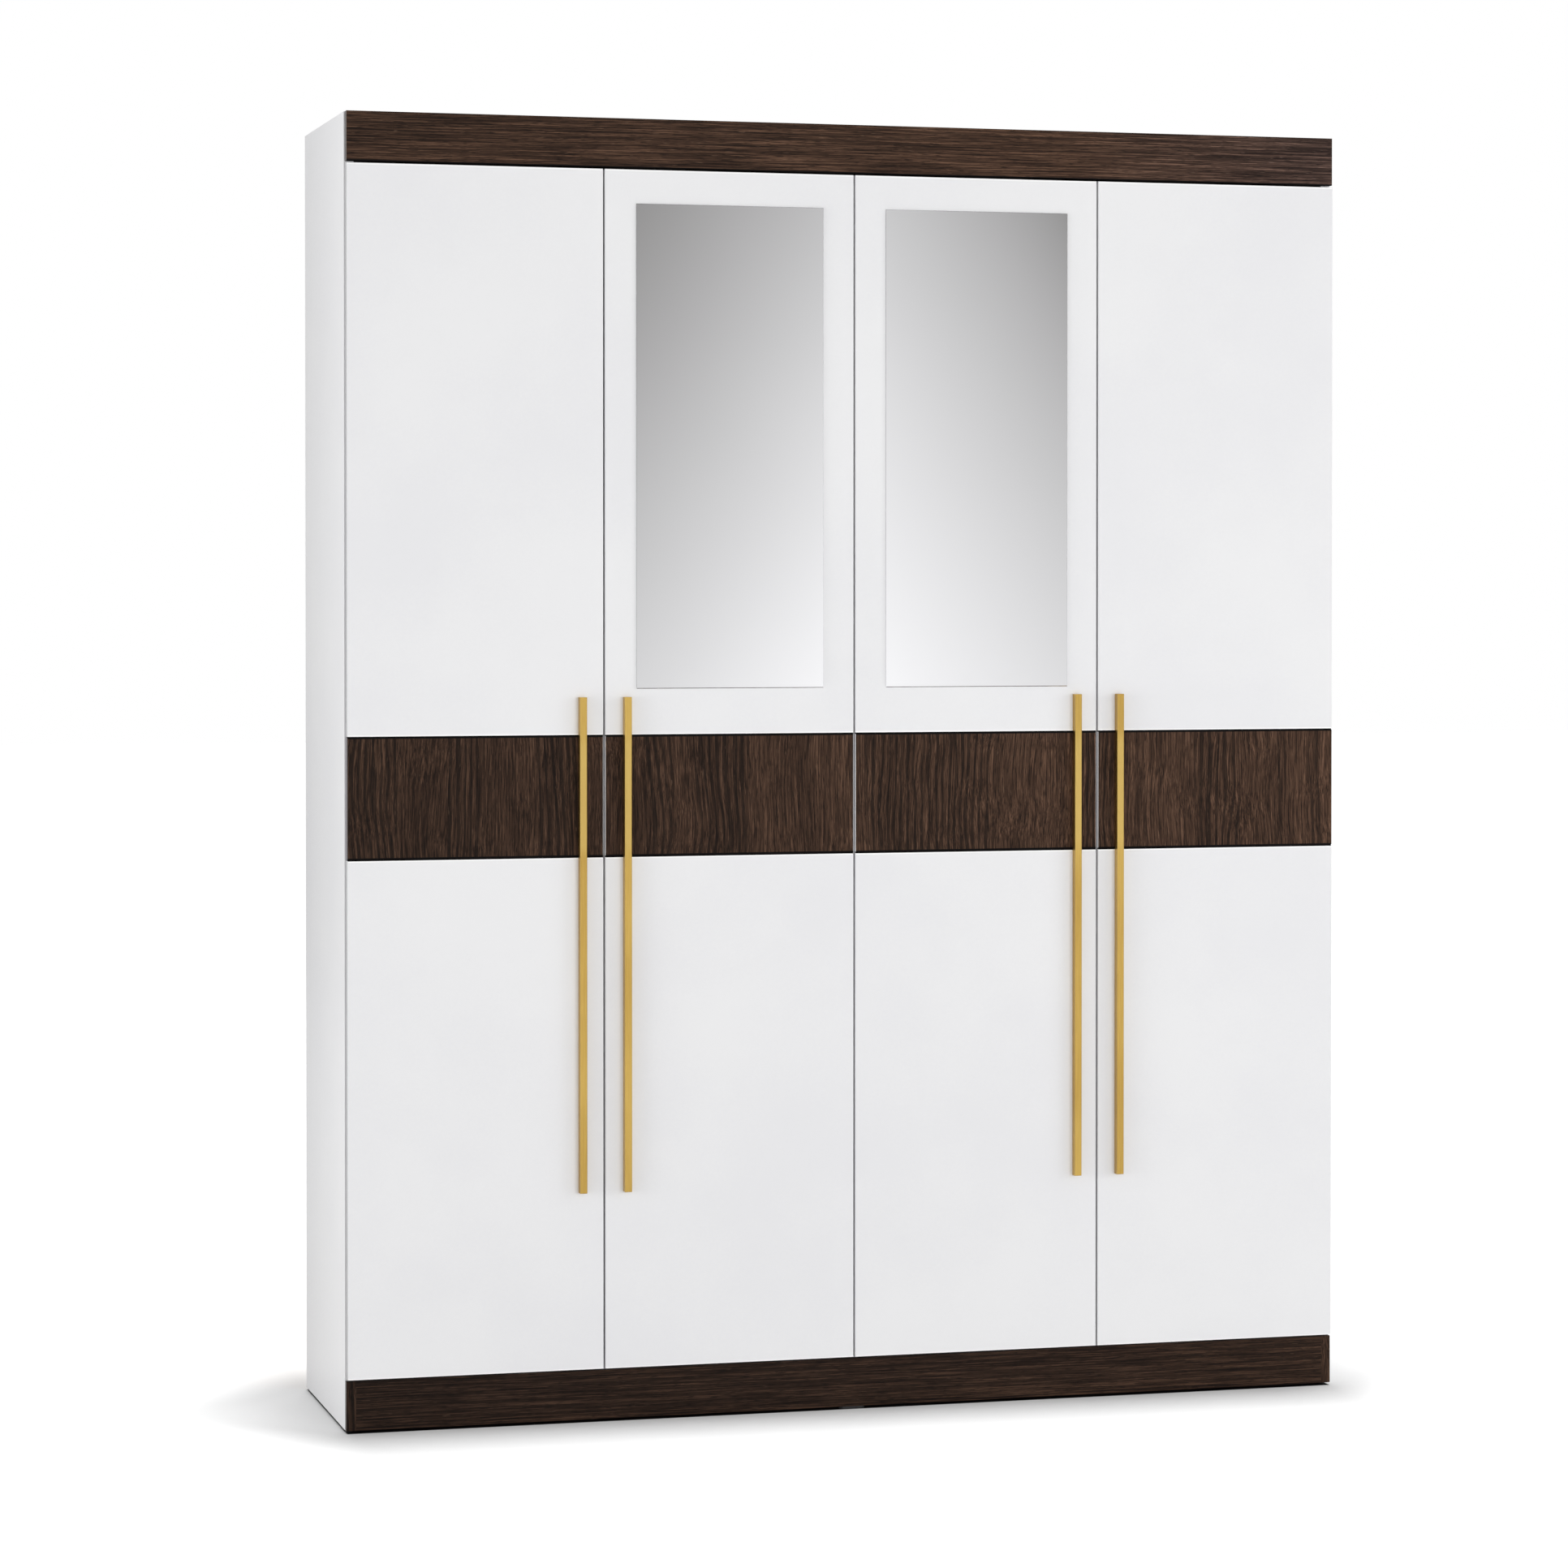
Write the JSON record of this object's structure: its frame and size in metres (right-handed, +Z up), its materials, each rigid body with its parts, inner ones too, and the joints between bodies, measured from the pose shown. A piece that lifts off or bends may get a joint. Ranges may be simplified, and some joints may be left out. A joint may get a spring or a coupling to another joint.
{
  "type": "armoire",
  "caption": "Tall free-standing hinged-door armoire with slim bar handles, mirrored middle doors, dark wood cornice, band and plinth, a hanging bay and a shelf bay.",
  "frame": {"origin": "on the floor, under the middle of the footprint", "axes": "+Z up, doors face -Y, +X to the right of someone who faces the doors"},
  "size_m": [1.59, 0.406, 1.994],
  "materials": {
    "back_sheet": "white faced hardboard",
    "black_plastic": "black glide plastic",
    "gold_bar": "brushed gold anodised",
    "hinge_steel": "nickel plated",
    "mirror_glass": "silvered float glass",
    "rail_chrome": "chromed steel tube",
    "soft_pad": "soft translucent pad",
    "wenge": "dark wenge grain laminate, satin",
    "white_laminate": "matt white melamine on chipboard",
    "white_plastic": "white moulded plastic"
  },
  "bodies": {
    "carcass": {"bottom_panel": "white_laminate", "centre_partition": "white_laminate", "cornice_board": "wenge", "door_bumpers": "soft_pad", "front_top_rail": "white_laminate", "glides": "black_plastic", "hanging_rail": "rail_chrome", "hat_shelf": "white_laminate", "hinge_arms": "hinge_steel", "hinge_plates": "hinge_steel", "left_back_sheet": "back_sheet", "left_front_edge_band": "white_laminate", "left_plinth_end_strip": "wenge", "left_side_panel": "white_laminate", "plinth_board": "wenge", "rail_brackets": "rail_chrome", "rear_plinth_board": "white_laminate", "right_back_sheet": "back_sheet", "right_bay_shelf_1": "white_laminate", "right_bay_shelf_2": "white_laminate", "right_bay_shelf_3": "white_laminate", "right_bay_shelf_4": "white_laminate", "right_front_edge_band": "white_laminate", "right_plinth_end_strip": "wenge", "right_side_panel": "white_laminate", "shelf_supports": "white_plastic", "top_panel": "white_laminate"},
    "door_1": {"door_1_band_panel": "wenge", "door_1_board": "white_laminate", "door_1_handle_bar": "gold_bar", "door_1_hinge_cups": "hinge_steel"},
    "door_1_outer_links": {"door_1_outer_links": "hinge_steel"},
    "door_1_inner_links": {"door_1_inner_links": "hinge_steel"},
    "door_2": {"door_2_band_panel": "wenge", "door_2_board": "white_laminate", "door_2_handle_bar": "gold_bar", "door_2_hinge_cups": "hinge_steel", "door_2_mirror": "mirror_glass"},
    "door_2_outer_links": {"door_2_outer_links": "hinge_steel"},
    "door_2_inner_links": {"door_2_inner_links": "hinge_steel"},
    "door_3": {"door_3_band_panel": "wenge", "door_3_board": "white_laminate", "door_3_handle_bar": "gold_bar", "door_3_hinge_cups": "hinge_steel", "door_3_mirror": "mirror_glass"},
    "door_3_outer_links": {"door_3_outer_links": "hinge_steel"},
    "door_3_inner_links": {"door_3_inner_links": "hinge_steel"},
    "door_4": {"door_4_band_panel": "wenge", "door_4_board": "white_laminate", "door_4_handle_bar": "gold_bar", "door_4_hinge_cups": "hinge_steel"},
    "door_4_outer_links": {"door_4_outer_links": "hinge_steel"},
    "door_4_inner_links": {"door_4_inner_links": "hinge_steel"}
  },
  "joints": [
    {"name": "door_1_outer_link_turn", "type": "hinge", "parent": "carcass", "child": "door_1_outer_links", "pos_m": [-0.75013, -0.15604, 1], "axis": [0, 0, 1], "range_deg": [0, 28.81]},
    {"name": "door_1_swing", "type": "hinge", "parent": "door_1_outer_links", "child": "door_1", "pos_m": [-0.78153, -0.17708, 1], "axis": [0, 0, -1], "range_deg": [0, 118.8]},
    {"name": "door_1_inner_link_turn", "type": "hinge", "parent": "carcass", "child": "door_1_inner_links", "pos_m": [-0.75778, -0.17166, 1], "axis": [0, 0, 1], "range_deg": [0, 38.8]},
    {"name": "door_2_outer_link_turn", "type": "hinge", "parent": "carcass", "child": "door_2_outer_links", "pos_m": [-0.04487, -0.15604, 1], "axis": [0, 0, -1], "range_deg": [0, 28.81]},
    {"name": "door_2_swing", "type": "hinge", "parent": "door_2_outer_links", "child": "door_2", "pos_m": [-0.01347, -0.17708, 1], "axis": [0, 0, 1], "range_deg": [0, 118.8]},
    {"name": "door_2_inner_link_turn", "type": "hinge", "parent": "carcass", "child": "door_2_inner_links", "pos_m": [-0.03722, -0.17166, 1], "axis": [0, 0, -1], "range_deg": [0, 38.8]},
    {"name": "door_3_outer_link_turn", "type": "hinge", "parent": "carcass", "child": "door_3_outer_links", "pos_m": [0.04487, -0.15604, 1], "axis": [0, 0, 1], "range_deg": [0, 28.81]},
    {"name": "door_3_swing", "type": "hinge", "parent": "door_3_outer_links", "child": "door_3", "pos_m": [0.01347, -0.17708, 1], "axis": [0, 0, -1], "range_deg": [0, 118.8]},
    {"name": "door_3_inner_link_turn", "type": "hinge", "parent": "carcass", "child": "door_3_inner_links", "pos_m": [0.03722, -0.17166, 1], "axis": [0, 0, 1], "range_deg": [0, 38.8]},
    {"name": "door_4_outer_link_turn", "type": "hinge", "parent": "carcass", "child": "door_4_outer_links", "pos_m": [0.75013, -0.15604, 1], "axis": [0, 0, -1], "range_deg": [0, 28.81]},
    {"name": "door_4_swing", "type": "hinge", "parent": "door_4_outer_links", "child": "door_4", "pos_m": [0.78153, -0.17708, 1], "axis": [0, 0, 1], "range_deg": [0, 118.8]},
    {"name": "door_4_inner_link_turn", "type": "hinge", "parent": "carcass", "child": "door_4_inner_links", "pos_m": [0.75778, -0.17166, 1], "axis": [0, 0, -1], "range_deg": [0, 38.8]}
  ],
  "couplings": [
    {"joint": "door_1_outer_link_turn", "follows": "door_1_swing", "ratio": 0.24242},
    {"joint": "door_1_inner_link_turn", "follows": "door_1_swing", "ratio": 0.32651},
    {"joint": "door_2_outer_link_turn", "follows": "door_2_swing", "ratio": 0.24242},
    {"joint": "door_2_inner_link_turn", "follows": "door_2_swing", "ratio": 0.32651},
    {"joint": "door_3_outer_link_turn", "follows": "door_3_swing", "ratio": 0.24242},
    {"joint": "door_3_inner_link_turn", "follows": "door_3_swing", "ratio": 0.32651},
    {"joint": "door_4_outer_link_turn", "follows": "door_4_swing", "ratio": 0.24242},
    {"joint": "door_4_inner_link_turn", "follows": "door_4_swing", "ratio": 0.32651}
  ]
}
